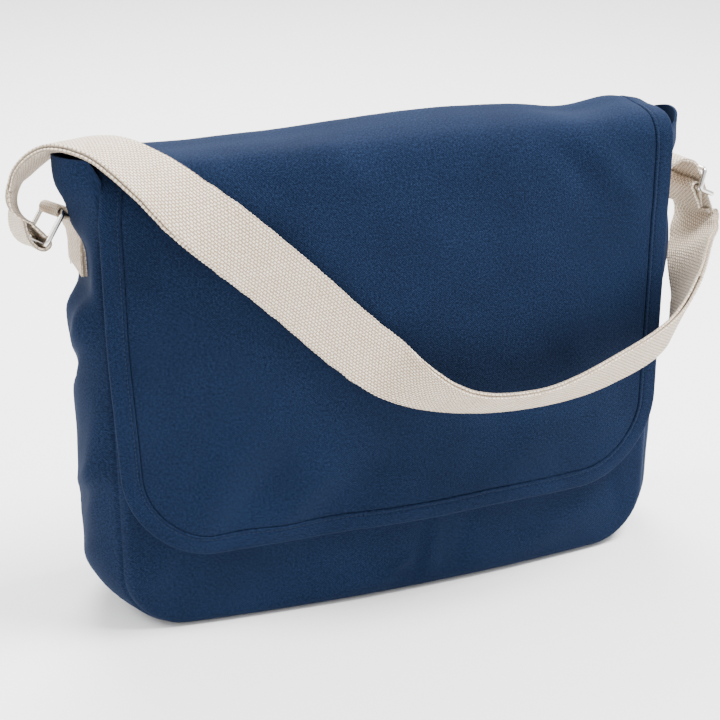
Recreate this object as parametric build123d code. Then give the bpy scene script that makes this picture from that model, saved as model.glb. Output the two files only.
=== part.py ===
"""Canvas messenger bag: a soft shell with a wide flap and a doubled webbing shoulder strap.

Millimetres.  +X is the wearer's side of the ring-to-slider axis that runs to the right,
-Y is the front (flap side) and +Z is up.  The origin is the middle of the base, on the floor.
"""
from build123d import *
from math import cos, pi, radians, sin, sqrt
import os

# ---- driving dimensions -------------------------------------------------------------------
HALF_WIDTH = 190.0        # seam to seam, half
CORNER_R = 40.0           # bottom corners of the front and back panels
CANVAS = 2.0              # canvas with its seam allowances, drawn thick enough to be a solid
FRONT_SEAM_Y = -47.0      # front panel's outer face at its side seams
FRONT_BELLY = 13.0        # how far the filled front stands out at its middle
BACK_FOOT_Y = 47.5        # back panel's outer face at the base
BACK_TOP_Y = 8.0          # the same at the ridge, since the back leans forward
BACK_BELLY = 7.0
GUSSET_BULGE = 15.0       # how far the side gusset stands out between its seams
RIDGE_Z = 321.0           # highest line of the bag, where the flap leaves the back panel
FOLD_Y, FOLD_Z = -31.0, 298.0   # centre of the flap's front fold, and its hinge line
FOLD_R = 20.0
FRONT_TOP_Z = 290.0       # top hem of the front panel
BACK_EDGE_Z = 313.0       # where the back panel gives way to the flap
GUSSET_TOP_Z = 314.0
MOUTH_SLOPE_Z = 262.0     # above this the gusset's edge falls towards the front
MOUTH_DROP = 26.0
FLAP_BOTTOM_Z = 58.0
FLAP_CORNER_R = 60.0
FLAP_GAP = 2.2            # air between the front panel and the flap
HEM_WIDTH = 16.0
HEM_THICK = 1.2
WEBBING = 40.0            # strap width
WEBBING_THICK = 1.9
LAYER_GAP = 0.4           # between the strap's two layers
WIRE_R = 1.6              # ring and slider wire
RING_INSIDE = 42.0        # clear width of the ring
LOOP_CLEAR = 0.5          # air between webbing loops and the wires inside them

PARTS = "parts"

# ---- the soft shell's surfaces ----------------------------------------------------------


def belly(x, amount):
    """Crown of a filled panel: full at the middle, nothing at the side seams."""
    return amount * max(0.0, 1 - (x / HALF_WIDTH) ** 2)


def front_y(x, z):
    """Outer face of the front panel."""
    return FRONT_SEAM_Y - belly(x, FRONT_BELLY * (1 - (z / 300.0) ** 6))


def back_y(x, z):
    """Outer face of the back panel, which leans towards the front as it rises."""
    lean = (max(z, 0.0) / RIDGE_Z) ** 1.3
    seam = BACK_FOOT_Y + (BACK_TOP_Y - BACK_FOOT_Y) * lean
    return seam + belly(x, BACK_BELLY * (1 - 0.6 * z / RIDGE_Z))


def corner_rise(x, half_width, radius):
    """Height of a rounded lower edge above its lowest line."""
    into = abs(x) - (half_width - radius)
    if into <= 0:
        return 0.0
    return radius - sqrt(max(0.0, radius ** 2 - into ** 2))


def corner_columns(half_width, radius, straight=3):
    """X stations that follow both rounded corners and the straight between them."""
    flat = half_width - radius
    arc = [flat + radius * sin(radians(a)) for a in (22.5, 45, 67.5, 90)]
    middle = [flat * (2 * i / (straight + 1) - 1) for i in range(straight + 2)]
    return [-x for x in reversed(arc)] + middle + arc


# ---- closed solids from two matching grids of points ---------------------------------------


def triangle(a, b, c):
    return Face(Wire.make_polygon([a, b, c], close=True))


def quad(a, b, c, d):
    """Two triangles, since a quad of a curved sheet isn't flat."""
    return [triangle(a, b, c), triangle(a, c, d)]


def closed_grid(outer, inner):
    """Triangles over two grids of the same size and round their common rim."""
    rows, cols = len(outer), len(outer[0])
    faces = []
    for i in range(rows - 1):
        for j in range(cols - 1):
            faces += quad(outer[i][j], outer[i][j + 1], outer[i + 1][j + 1], outer[i + 1][j])
            faces += quad(inner[i][j], inner[i + 1][j], inner[i + 1][j + 1], inner[i][j + 1])
    for i in range(rows - 1):
        faces += quad(outer[i][0], outer[i + 1][0], inner[i + 1][0], inner[i][0])
        faces += quad(outer[i][-1], inner[i][-1], inner[i + 1][-1], outer[i + 1][-1])
    for j in range(cols - 1):
        faces += quad(outer[0][j], inner[0][j], inner[0][j + 1], outer[0][j + 1])
        faces += quad(outer[-1][j], outer[-1][j + 1], inner[-1][j + 1], inner[-1][j])
    return Solid(Shell(faces))


def grid_volume(outer, inner):
    """Sign tells which grid is really on the outside."""
    a, b, c = outer[0][0], outer[0][1], outer[1][0]
    return (b - a).cross(c - a).dot(a - inner[0][0])


def sheet_solid(outer, inner):
    """A thick curved sheet; the grids swap where their winding points inwards."""
    if grid_volume(outer, inner) > 0:
        return closed_grid(outer, inner)
    return closed_grid(inner, outer)


def panel_solid(surface, columns, bottom, top, near, far, levels):
    """A sheet that stands on a rounded lower edge; near and far are its faces' Y offsets."""
    def grid(offset):
        rows = []
        for x in columns:
            low = bottom(x)
            heights = [low + (top - low) * v for v in levels]
            rows.append([Vector(x, surface(x, z) + offset, z) for z in heights])
        return rows
    return sheet_solid(grid(near), grid(far))


def export(node, shape):
    shape.label = node
    export_step(shape, os.path.join(PARTS, node + ".step"))
    print(node, "volume", round(shape.volume))


# ---- shell ---------------------------------------------------------------------------------

LEVELS = (0.0, 0.25, 0.5, 0.75, 0.9, 1.0)


def shell_bottom(x):
    return corner_rise(x, HALF_WIDTH, CORNER_R)


def front_panel():
    columns = corner_columns(HALF_WIDTH, CORNER_R)
    return panel_solid(front_y, columns, shell_bottom, FRONT_TOP_Z, 0.0, CANVAS, LEVELS)


def back_panel():
    columns = corner_columns(HALF_WIDTH, CORNER_R)
    return panel_solid(back_y, columns, shell_bottom, BACK_EDGE_Z, 0.0, -CANVAS, LEVELS)


def front_top_hem():
    """The front panel's top edge, turned in and stitched."""
    inside = CANVAS + 0.8
    end = HALF_WIDTH - 4.0
    columns = [-end] + corner_columns(HALF_WIDTH, CORNER_R)[2:-2] + [end]
    return panel_solid(front_y, columns, lambda x: FRONT_TOP_Z - 24.0, FRONT_TOP_Z - 0.5,
                       inside, inside + 1.5, (0.0, 1.0))


def u_path(inset, top):
    """Stations down the left side, round both corners and up the right: point and outward."""
    half, radius = HALF_WIDTH - inset, CORNER_R - inset
    stations = []
    side_heights = [z for z in (282.0, 262.0, 238.0, 180.0, 110.0, CORNER_R) if z < top]
    for z in [top] + side_heights:
        stations.append((-half, z, -1.0, 0.0))
    for a in (22.5, 45, 67.5):
        out_x, out_z = -cos(radians(a)), -sin(radians(a))
        centre_x = -(HALF_WIDTH - CORNER_R)
        stations.append((centre_x + radius * out_x, CORNER_R + radius * out_z, out_x, out_z))
    for x in (-150.0, -75.0, 0.0):
        stations.append((x, inset, 0.0, -1.0))
    mirrored = [(-x, z, -out_x, out_z) for x, z, out_x, out_z in reversed(stations[:-1])]
    return stations + mirrored


def gusset_bulge(z):
    """The gusset stands out all the way up, less where the sewn tabs pull it flat."""
    return GUSSET_BULGE - 5.0 * max(0.0, 1 - abs(z - 262.0) / 45.0)


def gusset_point(station, across, inset, edge_gap):
    """A point of the gusset; across runs from -1 at the front seam to 1 at the back seam."""
    x, z, out_x, out_z = station
    front = front_y(x, z) + edge_gap
    back = back_y(x, z) - edge_gap
    y = front + (back - front) * (across + 1) / 2
    out = gusset_bulge(z) * (1 - abs(across) ** 2.2) if out_x else 0.0
    slope = max(0.0, (z - MOUTH_SLOPE_Z) / (GUSSET_TOP_Z - MOUTH_SLOPE_Z))
    drop = MOUTH_DROP * slope * max(0.0, -across) ** 1.5
    return Vector(x + out * out_x, y, max(inset, z + out * out_z - drop))


def gusset():
    """One strip that runs down the left side, under the bag and up the right side."""
    across = (-1.0, -0.6, 0.0, 0.6, 1.0)
    edge_gap = CANVAS + 0.3

    def grid(inset):
        path = u_path(inset, GUSSET_TOP_Z)
        return [[gusset_point(s, t, inset, edge_gap) for t in across] for s in path]
    return sheet_solid(grid(0.0), grid(CANVAS))


def gusset_hem(side):
    """The gusset's top edge, turned in on each side of the mouth."""
    across = (-0.6, 0.0, 0.6)
    edge_gap = CANVAS + 0.3

    def grid(inset):
        rows = []
        for z in (GUSSET_TOP_Z - 0.5, 296.0):
            station = (side * (HALF_WIDTH - inset), z, side, 0.0)
            rows.append([gusset_point(station, t, inset, edge_gap) for t in across])
        return rows
    return sheet_solid(grid(CANVAS + 0.8), grid(CANVAS + 2.2))


def seam_binding(surface, inward):
    """Bound seam allowance that stands inside the shell along one panel's edge."""
    start, depth, lift, thick = CANVAS + 0.2, 9.0, 3.0, 2.0

    def grid(inset):
        rows = []
        for x, z, _, _ in u_path(inset, FRONT_TOP_Z - 30.0):
            y = surface(x, z) + inward * start
            rows.append([Vector(x, y, z), Vector(x, y + inward * depth, z)])
        return rows
    return sheet_solid(grid(lift), grid(lift + thick))


# ---- flap ----------------------------------------------------------------------------------

FLAP_INNER = -FLAP_GAP
FLAP_OUTER = -FLAP_GAP - CANVAS
FOLD_INNER_R = FOLD_R - 4.2       # the top piece runs on inside the front piece at the fold


def fold_point(radius, degrees):
    """A point round the front fold; 90 degrees is up and 180 is towards the front."""
    angle = radians(degrees)
    return (FOLD_Y + radius * cos(angle), FOLD_Z + radius * sin(angle))


def flap_top_panel():
    """From the ridge forward over the mouth, then round inside the front fold."""
    ridge = [(BACK_TOP_Y - 2.0, RIDGE_Z), (BACK_TOP_Y - 16.0, RIDGE_Z + 0.5)]
    upper = ridge + [fold_point(FOLD_R + 0.5, 96)]
    upper += [fold_point(FOLD_INNER_R + CANVAS, a) for a in (106, 125, 145, 165, 184)]
    lower = [(y, z - CANVAS) for y, z in ridge] + [fold_point(FOLD_R - 1.5, 96)]
    lower += [fold_point(FOLD_INNER_R, a) for a in (106, 125, 145, 165, 184)]
    outline = Wire.make_polygon([Vector(0, y, z) for y, z in upper + lower[::-1]], close=True)
    solid = Solid.extrude(Face(outline), Vector(2 * HALF_WIDTH, 0, 0))
    return solid.moved(Location((-HALF_WIDTH, 0, 0)))


def flap_top_hem(side):
    """Turned-under edge of the flap's top piece, on its underside."""
    upper = [(BACK_TOP_Y - 3.0, RIDGE_Z - CANVAS - 0.5), (-14.0, RIDGE_Z - CANVAS - 0.8)]
    lower = [(y, z - HEM_THICK) for y, z in upper]
    outline = Wire.make_polygon([Vector(0, y, z) for y, z in upper + lower[::-1]], close=True)
    solid = Solid.extrude(Face(outline), Vector(HEM_WIDTH, 0, 0))
    start = HALF_WIDTH - HEM_WIDTH if side > 0 else -HALF_WIDTH
    return solid.moved(Location((start, 0, 0)))


def flap_bottom(x):
    return FLAP_BOTTOM_Z + corner_rise(x, HALF_WIDTH, FLAP_CORNER_R)


FLAP_LEVELS = (0.0, 0.3, 0.55, 0.75, 0.88, 0.95, 1.0)


def flap_front_panel():
    """The hanging front of the flap, with its two big rounded corners."""
    columns = corner_columns(HALF_WIDTH, FLAP_CORNER_R)
    return panel_solid(front_y, columns, flap_bottom, FOLD_Z, FLAP_OUTER, FLAP_INNER,
                       FLAP_LEVELS)


def flap_outline(inset):
    """Stations along the flap's hanging edge: down the left, round, and up the right."""
    half, radius = HALF_WIDTH - inset, FLAP_CORNER_R - inset
    centre_x, centre_z = HALF_WIDTH - FLAP_CORNER_R, FLAP_BOTTOM_Z + FLAP_CORNER_R
    points = [(-half, z) for z in (282.0, 262.0, 225.0, 170.0, centre_z)]
    for a in (22.5, 45, 67.5):
        points.append((-centre_x - radius * cos(radians(a)), centre_z - radius * sin(radians(a))))
    points += [(x, FLAP_BOTTOM_Z + inset) for x in (-centre_x, -centre_x / 2, 0.0)]
    return points + [(-x, z) for x, z in reversed(points[:-1])]


def edge_strip(inset_a, inset_b, near, far):
    """A strip that follows the flap's edge between two insets."""
    def grid(offset):
        pairs = zip(flap_outline(inset_a), flap_outline(inset_b))
        return [[Vector(x, front_y(x, z) + offset, z) for x, z in pair] for pair in pairs]
    return sheet_solid(grid(near), grid(far))


def flap_edge_hem():
    """Turned-under edge on the inside of the hanging part."""
    return edge_strip(0.5, HEM_WIDTH, FLAP_INNER + 0.25, FLAP_INNER + 0.25 + HEM_THICK)


def flap_topstitching():
    """The row of stitches that holds the hem, just proud of the flap's outer face."""
    return edge_strip(HEM_WIDTH - 3.6, HEM_WIDTH - 2.8, FLAP_OUTER - 0.45, FLAP_OUTER - 0.15)


# ---- strap ---------------------------------------------------------------------------------
# Each station is a point of the strap's middle line and the direction of its width, which
# points to the edge that is uppermost as the strap crosses the flap.

STRAP_ROUTE = [
    ((-229, 1, 308), (19, 35, -6)),
    ((-209, -9, 328), (24, 31, -8)),
    ((-186, -28, 331), (26, 30, -1)),
    ((-161, -48, 316), (29, 24, 13)),
    ((-139, -62, 295), (30, 12, 24)),
    ((-119, -67, 275), (29, 3, 28)),
    ((-78, -65, 235), (28, 0, 28)),
    ((-39, -67, 195), (28, 0, 28)),
    ((-19, -70, 177), (25, -4, 31)),
    ((-6, -75, 167), (13, -17, 34)),
    ((22, -83, 153), (1, -29, 27)),
    ((74, -87, 146), (-4, -31, 25)),
    ((139, -84, 157), (-5, -24, 32)),
    ((190, -70, 175), (-5, -23, 32)),
    ((213, -50, 192), (3, -27, 29)),
    ((229, -26, 211), (12, -32, 20)),
]
NECK_ROUTE = [((-233, 1, 282), (5, 39, -5)), ((-235, 1.5, 293), (10, 38, -5)),
              ((-233, 1.5, 301), (14, 37, -5))]
RUN_ROUTE = [((205.2, 0, 262), (1, -40, 0)), ((207, 0, 270.5), (3, -40, 0)),
             ((215, 0, 274.5), (5, -39, 0)), ((223, 0, 272), (7, -39, 0)),
             ((230, 0, 260), (7, -39, 0)), ((240, 0, 237), (7, -39, 0))]


def ribbon(route, middle, thick=WEBBING_THICK):
    """Webbing along a route; middle is how far it lies off the route, outwards."""
    points = [Vector(*p) for p, _ in route]
    inner, outer = [], []
    for i, (_, across) in enumerate(route):
        ahead = points[min(i + 1, len(points) - 1)] - points[max(i - 1, 0)]
        side = Vector(*across).normalized()
        out = ahead.cross(side).normalized()
        edges = [points[i] - side * (WEBBING / 2), points[i] + side * (WEBBING / 2)]
        outer.append([e + out * (middle + thick / 2) for e in edges])
        inner.append([e + out * (middle - thick / 2) for e in edges])
    return sheet_solid(outer, inner)


LAYER = (WEBBING_THICK + LAYER_GAP) / 2

# ---- ring ----------------------------------------------------------------------------------
RING_BAR = Vector(-4.5, 40, -8.3).normalized()       # direction of its two long bars
RING_TOP = Vector(-211.5, 0, 283.5)                  # middle of the bar held by the tab
RING_DROP = 22.5                                     # from that bar to the one below
RING_LEAN = Vector(-13.0, 0, -18.4)
RING_DOWN = (RING_LEAN - RING_BAR * RING_LEAN.dot(RING_BAR)).normalized()
RING_NORMAL = RING_BAR.cross(RING_DOWN)
RING_LOW = RING_TOP + RING_DOWN * RING_DROP


def wire_loop(plane, half_long, half_high, camber, bend):
    """Round wire bent to a rectangle, its short sides bowed by the camber."""
    corners = [(-half_long, half_high, 0), (half_long, half_high, 0)]
    if camber:
        corners.append((half_long, 0, -camber))
    corners += [(half_long, -half_high, 0), (-half_long, -half_high, 0)]
    if camber:
        corners.append((-half_long, 0, -camber))
    path = FilletPolyline(*[plane.from_local_coords(Vector(*c)) for c in corners],
                          radius=bend, close=True)
    start = path @ 0
    section = Plane(origin=start, z_dir=path % 0) * Circle(WIRE_R)
    return sweep(section, path=path)


def ring_left():
    middle = RING_TOP + RING_DOWN * (RING_DROP / 2)
    plane = Plane(origin=middle, x_dir=RING_BAR, z_dir=RING_NORMAL)
    return wire_loop(plane, RING_INSIDE / 2 + WIRE_R, RING_DROP / 2, 0.0, 3.5)


def webbing_roll(centre, axis, length):
    """Webbing wrapped round a bar, with clearance so that the bar turns in it."""
    bore = WIRE_R + LOOP_CLEAR
    plane = Plane(origin=centre - axis * (length / 2), z_dir=axis)
    tube = Solid.make_cylinder(bore + WEBBING_THICK, length, plane)
    hole_plane = Plane(origin=centre - axis * (length / 2 + 1), z_dir=axis)
    hole = Solid.make_cylinder(bore, length + 2, hole_plane)
    return tube, hole


def neck(start, end, axis, thick, half_long):
    """A flat stretch of doubled webbing from one line to another."""
    along = (end - start).normalized()
    out = axis.cross(along).normalized()
    side = axis * half_long
    outer = [[p - side + out * thick / 2, p + side + out * thick / 2] for p in (start, end)]
    inner = [[p - side - out * thick / 2, p + side - out * thick / 2] for p in (start, end)]
    return sheet_solid(outer, inner)


TAB_LONG = 38.0
TAB_FACE_X = -203.5        # the patch's inner face, on the gusset


def tab_left():
    """Short webbing sewn to the gusset, folded round the ring's upper bar."""
    tube, hole = webbing_roll(RING_TOP, RING_BAR, TAB_LONG)
    patch_thick = 2 * WEBBING_THICK
    patch = Solid.make_box(patch_thick, TAB_LONG, 42.0).moved(
        Location((TAB_FACE_X - patch_thick, -TAB_LONG / 2, 236.0)))
    patch_top = Vector(TAB_FACE_X - patch_thick / 2, 0, 277.0)
    toward = (patch_top - RING_TOP).normalized()
    link = neck(RING_TOP + toward * 2.6, patch_top, RING_BAR, 3.4, TAB_LONG / 2)
    return (tube + link + patch) - hole


def strap_ring_loop():
    """The strap's turn round the ring's lower bar, with a stub of both layers."""
    tube, hole = webbing_roll(RING_LOW, RING_BAR, TAB_LONG)
    away = (Vector(-233, 1, 282) - RING_LOW).normalized()
    link = neck(RING_LOW + away * 2.6, RING_LOW + away * 11.0, RING_BAR, 3.8, TAB_LONG / 2)
    return (tube + link) - hole


# ---- slider --------------------------------------------------------------------------------
RUN_TOP, RUN_END = Vector(230, 0, 260), Vector(240, 0, 237)
RUN_DOWN = (RUN_END - RUN_TOP).normalized()
RUN_SIDE = Vector(7, -39, 0).normalized()
RUN_OUT = RUN_SIDE.cross(RUN_DOWN).normalized()      # away from the bag
SLIDER_MIDDLE = RUN_TOP + RUN_DOWN * 4.5
SLIDER_HIGH = 21.0                       # between its two outer bars
BAR_SINK = 2 * WEBBING_THICK + WIRE_R - 0.1     # the middle bar lies on the bag's side
BAR_RISE = WEBBING_THICK / 2 + WIRE_R + 1.0    # the outer bars lie outside the strap


def slider_plane(offset):
    return Plane(origin=SLIDER_MIDDLE + RUN_OUT * offset, x_dir=RUN_SIDE, z_dir=RUN_OUT)


def slider_frame():
    camber = BAR_RISE + BAR_SINK
    return wire_loop(slider_plane(BAR_RISE), RING_INSIDE / 2 + WIRE_R, SLIDER_HIGH / 2,
                     camber, 3.0)


def slider_center_bar():
    centre = SLIDER_MIDDLE - RUN_OUT * BAR_SINK
    half = RING_INSIDE / 2 - 0.2
    plane = Plane(origin=centre - RUN_SIDE * half, z_dir=RUN_SIDE)
    return Solid.make_cylinder(WIRE_R, 2 * half, plane)


def strap_end_loop():
    """The strap's free end, sewn round the slider's middle bar."""
    centre = SLIDER_MIDDLE - RUN_OUT * BAR_SINK
    tube, hole = webbing_roll(centre, RUN_SIDE, TAB_LONG)
    tail = centre - RUN_OUT * 1.1 + RUN_DOWN * 2.4
    link = neck(tail, tail + RUN_DOWN * 9.0, RUN_SIDE, 3.4, TAB_LONG / 2)
    return (tube + link) - hole


def strap_fixed_end():
    """The strap's sewn end: a patch on the right gusset, then the run through the slider."""
    patch = Solid.make_box(WEBBING_THICK, WEBBING, 34.0).moved(
        Location((205.2 - WEBBING_THICK / 2, -WEBBING / 2, 227.5)))
    return patch, ribbon(RUN_ROUTE, 0.0)


# ---- thread --------------------------------------------------------------------------------


def box_stitching(face_x, low, high, side):
    """A stitched square with both diagonals' ends, as four thin bars of thread."""
    reach, thread, proud = 15.0, 0.9, 0.5
    start = face_x if side > 0 else face_x - proud
    bars = []
    for y in (-reach, reach - thread):
        bars.append(Solid.make_box(proud, thread, high - low).moved(Location((start, y, low))))
    for z in (low, high - thread):
        inner = Solid.make_box(proud, 2 * (reach - thread) - 0.4, thread)
        bars.append(inner.moved(Location((start, -reach + thread + 0.2, z))))
    return Compound(children=bars)


def main():
    os.makedirs(PARTS, exist_ok=True)
    export("front_panel", front_panel())
    export("back_panel", back_panel())
    export("gusset", gusset())
    export("front_top_hem", front_top_hem())
    export("gusset_hem_left", gusset_hem(-1))
    export("gusset_hem_right", gusset_hem(1))
    export("front_seam_binding", seam_binding(front_y, 1))
    export("back_seam_binding", seam_binding(back_y, -1))
    export("flap_top_panel", flap_top_panel())
    export("flap_top_hem_left", flap_top_hem(-1))
    export("flap_top_hem_right", flap_top_hem(1))
    export("flap_front_panel", flap_front_panel())
    export("flap_edge_hem", flap_edge_hem())
    export("flap_topstitching", flap_topstitching())
    export("ring_left", ring_left())
    export("tab_left", tab_left())
    export("tab_stitching", box_stitching(TAB_FACE_X - 2 * WEBBING_THICK - 0.05, 240, 268, -1))
    export("strap_ring_loop", strap_ring_loop())
    export("strap_neck_outer", ribbon(NECK_ROUTE, LAYER))
    export("strap_neck_inner", ribbon(NECK_ROUTE, -LAYER))
    export("strap_outer_layer", ribbon(STRAP_ROUTE, LAYER))
    export("strap_inner_layer", ribbon(STRAP_ROUTE, -LAYER))
    patch, run = strap_fixed_end()
    export("strap_fixed_end", patch)
    export("strap_slider_run", run)
    export("fixed_end_stitching", box_stitching(205.2 + WEBBING_THICK / 2 + 0.05, 230, 258, 1))
    export("slider_frame", slider_frame())
    export("slider_center_bar", slider_center_bar())
    export("strap_end_loop", strap_end_loop())


main()
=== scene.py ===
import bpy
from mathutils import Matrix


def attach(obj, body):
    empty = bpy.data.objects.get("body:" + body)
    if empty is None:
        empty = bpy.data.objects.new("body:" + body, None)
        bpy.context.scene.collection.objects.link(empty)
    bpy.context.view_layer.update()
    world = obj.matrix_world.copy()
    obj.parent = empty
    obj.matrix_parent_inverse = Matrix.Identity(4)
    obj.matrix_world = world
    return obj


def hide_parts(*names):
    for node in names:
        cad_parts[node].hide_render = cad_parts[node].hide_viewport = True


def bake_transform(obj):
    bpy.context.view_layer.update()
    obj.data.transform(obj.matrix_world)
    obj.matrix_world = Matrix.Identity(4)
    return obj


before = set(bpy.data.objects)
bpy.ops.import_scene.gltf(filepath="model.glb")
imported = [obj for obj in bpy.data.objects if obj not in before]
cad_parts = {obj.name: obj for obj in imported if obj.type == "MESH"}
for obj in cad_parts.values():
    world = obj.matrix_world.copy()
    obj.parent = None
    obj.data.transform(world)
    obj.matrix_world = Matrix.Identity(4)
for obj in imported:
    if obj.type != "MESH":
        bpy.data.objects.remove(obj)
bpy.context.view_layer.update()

from math import cos, pi, radians, sin

import bpy
import numpy as np
from mathutils import Vector, noise

# Shapes are worked out in millimetres, as the CAD source is, and turned into metres in one place.
MM = 0.001

# ---- the CAD model's driving dimensions ------------------------------------------------------
HALF_WIDTH, CORNER_R, HEIGHT = 190.0, 40.0, 321.0
FRONT_SEAM_Y, FRONT_BELLY = -47.0, 13.0
BACK_FOOT_Y, BACK_TOP_Y, BACK_BELLY = 47.5, 8.0, 7.0
FLAP_BOTTOM_Z, FLAP_CORNER_R = 58.0, 60.0
FRONT_TOP_Z, BACK_EDGE_Z = 290.0, 306.0
WEBBING, NARROW, WEBBING_THICK, WIRE_R = 40.0, 38.0, 1.9, 1.6
LAYER = 1.15                          # either strap layer's distance from their middle
RING_BAR = np.array((-4.5, 40.0, -8.3))
RING_TOP = np.array((-211.5, 0.0, 283.5))
RING_LEAN, RING_DROP, RING_INSIDE = np.array((-13.0, 0.0, -18.4)), 22.5, 42.0
RUN_TOP, RUN_END = np.array((230.0, 0.0, 260.0)), np.array((240.0, 0.0, 237.0))
RUN_SIDE, SLIDER_HIGH = np.array((7.0, -39.0, 0.0)), 21.0
BAR_RISE, BAR_SINK = 3.55, 5.3

CANVAS = 0.8                          # half the thickness of one layer of canvas


def unit(v):
    return v / np.linalg.norm(v)


def smooth(x):
    """Eases from 0 to 1."""
    x = np.clip(x, 0.0, 1.0)
    return x * x * (3 - 2 * x)


def bump(x, middle, width):
    return np.exp(-((x - middle) / width) ** 2)


def through(knots, values, at):
    """Smooth curve through values at the knots; values may be numbers or points."""
    knots, values, at = np.asarray(knots, float), np.asarray(values, float), np.asarray(at, float)
    slopes = np.gradient(values, knots, axis=0)
    i = np.clip(np.searchsorted(knots, at) - 1, 0, len(knots) - 2)
    span = knots[i + 1] - knots[i]
    s = (at - knots[i]) / span
    if values.ndim > 1:
        s, span = s[:, None], span[:, None]
    a, b = values[i], values[i + 1]
    return (a * (1 + 2 * s) * (1 - s) ** 2 + slopes[i] * span * s * (1 - s) ** 2
            + b * s * s * (3 - 2 * s) + slopes[i + 1] * span * s * s * (s - 1))


def crease(u, v, start, end, width, height):
    """A soft ridge, or a valley where height is negative, that fades at both its ends."""
    du, dv = end[0] - start[0], end[1] - start[1]
    length = (du * du + dv * dv) ** 0.5
    along = ((u - start[0]) * du + (v - start[1]) * dv) / length ** 2
    off = ((u - start[0]) * dv - (v - start[1]) * du) / length
    fade = np.clip(1 - (2 * along - 1) ** 2, 0.0, 1.0)
    return height * np.exp(-(off / width) ** 2) * fade


def creases(u, v, table):
    return sum(crease(u, v, *row) for row in table)


def rumple(u, v, size, seed):
    """Smooth noise of about one unit's height and the given size of hill."""
    return np.array([noise.noise(Vector((a / size, b / size, seed))) for a, b in zip(u, v)])


# ---- meshes ----------------------------------------------------------------------------------


def grid_quads(rows, cols, first=0):
    at = np.arange(rows * cols).reshape(rows, cols) + first
    return np.stack([at[:-1, :-1], at[:-1, 1:], at[1:, 1:], at[1:, :-1]], -1).reshape(-1, 4)


def normals_of(points, quads):
    corners = points[quads]
    face = np.cross(corners[:, 2] - corners[:, 0], corners[:, 3] - corners[:, 1])
    total = np.zeros_like(points)
    for k in range(4):
        np.add.at(total, quads[:, k], face)
    return total / np.maximum(np.linalg.norm(total, axis=1), 1e-12)[:, None]


def make_piece(name, points, faces, flat, material, sharp=50):
    """A mesh in metres with its cloth coordinates kept for the weave; sharp is in degrees."""
    mesh = bpy.data.meshes.new(name)
    mesh.from_pydata((points * MM).tolist(), [], [[int(i) for i in face] for face in faces])
    cloth = mesh.attributes.new("cloth", "FLOAT_VECTOR", "POINT")
    cloth.data.foreach_set("vector", np.column_stack([flat, np.zeros(len(flat))]).ravel())
    mesh.polygons.foreach_set("use_smooth", [True] * len(mesh.polygons))
    mesh.set_sharp_from_angle(angle=radians(sharp))
    mesh.materials.append(material)
    piece = bpy.data.objects.new(name, mesh)
    bpy.context.scene.collection.objects.link(piece)
    return piece


def closed_sheet(name, points, quads, flat, outer, inner):
    """Canvas with a thickness: the outer and inner distances are taken along its normals."""
    out = normals_of(points, quads)
    outer = np.broadcast_to(outer, len(points))
    inner = np.broadcast_to(inner, len(points))
    count = len(points)
    edges = {}
    for a, b, c, d in quads.tolist():
        for pair in ((a, b), (b, c), (c, d), (d, a)):
            edges[pair] = True
    rim = [(b, a, a + count, b + count) for a, b in edges if (b, a) not in edges]
    both = np.concatenate([points + out * outer[:, None], points - out * inner[:, None]])
    faces = np.concatenate([quads, quads[:, ::-1] + count, np.array(rim)])
    return make_piece(name, both, faces, np.concatenate([flat, flat]), CANVAS_LOOK)


def u_patch(half, radius, bottom, top, insets, step):
    """Flat panel with two rounded lower corners: a band that follows its edge, then the middle.

    Returns flat points, quads and each point's distance from the edge."""
    side = np.linspace(top, bottom + radius, max(2, int((top - bottom - radius) / step)) + 1)
    arc_steps = 2 * max(3, int(radius / step))
    arc = np.linspace(0, pi / 2, arc_steps + 1)[1:-1]
    base = np.linspace(radius - half, half - radius, int(2 * (half - radius) / step) + 1)
    corner = half - radius
    left = [((-corner, z), (-1.0, 0.0)) for z in side]
    left += [((-corner, bottom + radius), (-cos(a), -sin(a))) for a in arc]
    middle = [((x, bottom + radius), (0.0, -1.0)) for x in base]
    right = [((-x, z), (-out_x, out_z)) for (x, z), (out_x, out_z) in reversed(left)]
    anchors, outs = (np.array(part) for part in zip(*(left + middle + right)))
    points = np.concatenate([anchors + outs * (radius - d) for d in insets])
    distance = np.repeat(insets, len(anchors))
    quads = grid_quads(len(insets), len(anchors))

    rim = np.arange(len(anchors)) + (len(insets) - 1) * len(anchors)
    turn = len(side) - 1 + arc_steps // 2
    west, south, east = rim[:turn + 1], rim[turn:-turn], rim[-turn - 1:][::-1]
    rows, cols = len(west), len(south)
    grid = np.zeros((rows, cols), int)
    grid[:, 0], grid[-1, :], grid[:, -1] = west, south, east
    share = points[south][:, 0]
    share = (share - share[0]) / (share[-1] - share[0])
    north = points[west[0]] + share[:, None] * (points[east[0]] - points[west[0]])
    down = np.linspace(0, 1, rows)[:, None, None]
    across = share[None, :, None]
    nw, ne, sw, se = points[west[0]], points[east[0]], points[west[-1]], points[east[-1]]
    field = ((1 - down) * north[None] + down * points[south][None]
             + (1 - across) * points[west][:, None] + across * points[east][:, None]
             - (1 - down) * ((1 - across) * nw + across * ne)
             - down * ((1 - across) * sw + across * se))
    grid[:-1, 1:-1] = len(points) + np.arange((rows - 1) * (cols - 2)).reshape(rows - 1, cols - 2)
    inner = field[:-1, 1:-1].reshape(-1, 2)
    points = np.concatenate([points, inner])
    distance = np.concatenate([distance, edge_distance(inner, half, radius, bottom)])
    more = np.stack([grid[:-1, :-1], grid[:-1, 1:], grid[1:, 1:], grid[1:, :-1]], -1).reshape(-1, 4)
    return points, np.concatenate([quads, more[:, ::-1]]), distance


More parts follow.
